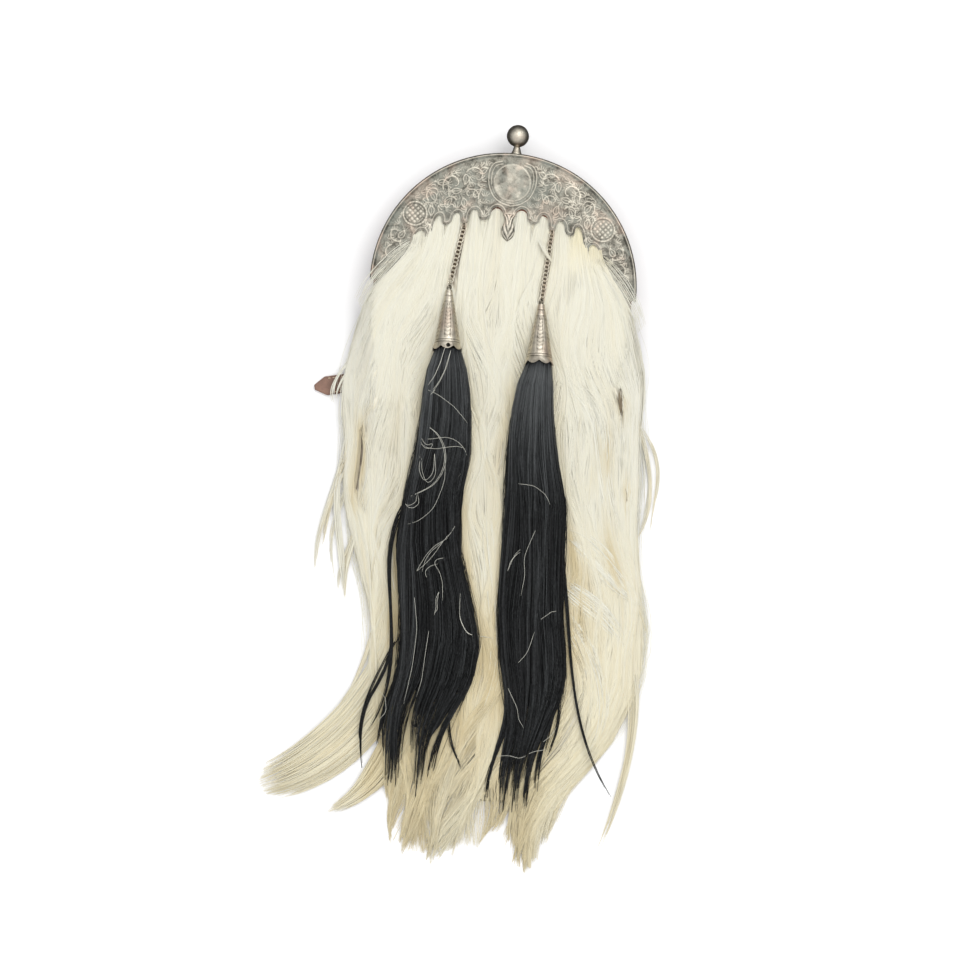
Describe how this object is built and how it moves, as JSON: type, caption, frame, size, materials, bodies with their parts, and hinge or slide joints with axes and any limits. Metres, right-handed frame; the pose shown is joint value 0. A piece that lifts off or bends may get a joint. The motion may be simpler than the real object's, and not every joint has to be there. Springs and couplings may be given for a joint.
{
  "type": "dress sporran pouch",
  "caption": "Dress sporran: half-round silver cantle over a leather pouch, with a long white hair front and black hair tassels in silver cones on chains.",
  "frame": {"origin": "bottom centre of the bounding box, on the surface that the sporran lies on", "axes": "+Z out of the front face, +Y from the hair's tips towards the ball on the cantle, +X to the right as the front is seen"},
  "size_m": [0.2898, 0.5532, 0.0539],
  "materials": {
    "cantle_silver": "tarnished silver, chased and engraved",
    "cone_silver": "warm engraved silver",
    "chain_silver": "darkened silver wire",
    "pouch_leather": "red-brown leather, matt",
    "strap_leather": "red-brown leather with stitches",
    "white_hair": "cream white horsehair, straw towards the tips",
    "black_hair": "black horsehair with a soft sheen"
  },
  "bodies": {
    "root": {"cantle": "cantle_silver", "finial": "cantle_silver", "pouch": "pouch_leather", "belt_loop_left": "pouch_leather", "belt_loop_right": "pouch_leather", "strap": "strap_leather", "hair_apron": "white_hair", "chain_left": "chain_silver", "chain_right": "chain_silver", "cone_left": "cone_silver", "cone_right": "cone_silver", "tassel_left": "black_hair", "tassel_right": "black_hair"}
  },
  "joints": []
}
